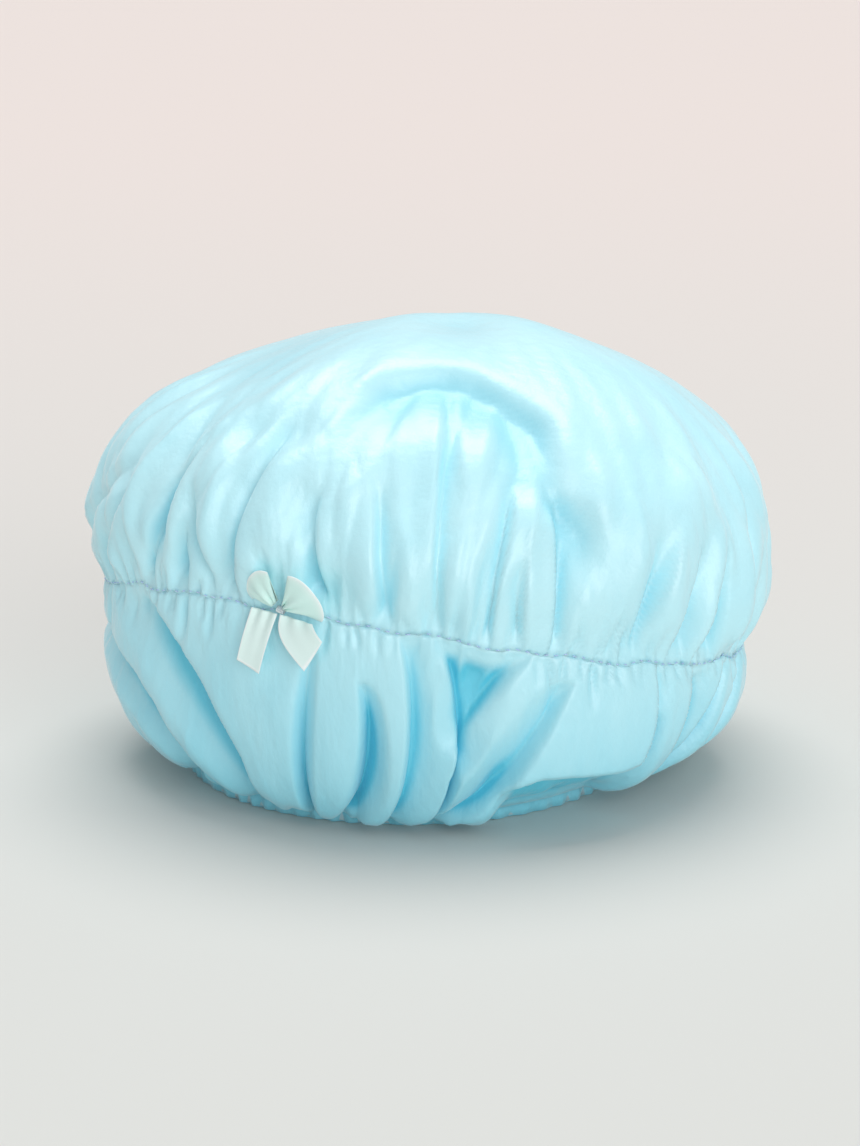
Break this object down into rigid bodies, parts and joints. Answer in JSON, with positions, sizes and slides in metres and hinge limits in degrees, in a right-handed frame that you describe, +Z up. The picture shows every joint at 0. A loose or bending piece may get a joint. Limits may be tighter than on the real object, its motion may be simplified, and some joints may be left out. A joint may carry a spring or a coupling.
{
  "type": "shower cap",
  "caption": "Gathered satin shower cap with a film lining, a puffed crown, a waist elastic, a frill drawn in by a hem elastic, and a small ribbon bow; keeps hair dry.",
  "frame": {"origin": "on the table, under the middle of the whole cap's box", "axes": "+X to the right seen from the front, -Y to the front where the bow is, +Z up to the crown"},
  "size_m": [0.2426, 0.2152, 0.162],
  "materials": {
    "outer_satin": "smooth satin weave, soft sheen",
    "lining_film": "thin milky film",
    "elastic": "braided, matt",
    "thread": "spun thread",
    "bow_ribbon": "glossy satin ribbon"
  },
  "bodies": {
    "cap": {"crown_cloth": "outer_satin", "frill_cloth": "outer_satin", "lining_film": "lining_film", "waist_elastic": "elastic", "hem_elastic": "elastic", "waist_elastic_tack": "thread", "hem_elastic_tack": "thread", "waist_needle_thread": "thread", "waist_bobbin_thread": "thread", "hem_needle_thread": "thread", "hem_bobbin_thread": "thread", "bow_tie_thread": "thread"},
    "left_loop": {"bow_loop_left": "bow_ribbon"},
    "right_loop": {"bow_loop_right": "bow_ribbon"},
    "left_tail": {"bow_tail_left": "bow_ribbon"},
    "right_tail": {"bow_tail_right": "bow_ribbon"}
  },
  "joints": [
    {"name": "left_loop_flop", "type": "hinge", "parent": "cap", "child": "left_loop", "pos_m": [-0.04933, -0.09497, 0.08205], "axis": [0.8672, -0.4558, -0.2004], "range_deg": [0, 25], "stiffness_Nm_per_rad": 0.0003},
    {"name": "right_loop_flop", "type": "hinge", "parent": "cap", "child": "right_loop", "pos_m": [-0.04933, -0.09497, 0.08205], "axis": [0.8672, -0.4558, -0.2004], "range_deg": [0, 25], "stiffness_Nm_per_rad": 0.0003},
    {"name": "left_tail_lift", "type": "hinge", "parent": "cap", "child": "left_tail", "pos_m": [-0.04933, -0.09497, 0.08205], "axis": [-0.8672, 0.4558, 0.2004], "range_deg": [0, 45]},
    {"name": "right_tail_lift", "type": "hinge", "parent": "cap", "child": "right_tail", "pos_m": [-0.04933, -0.09497, 0.08205], "axis": [-0.8672, 0.4558, 0.2004], "range_deg": [0, 45]}
  ]
}
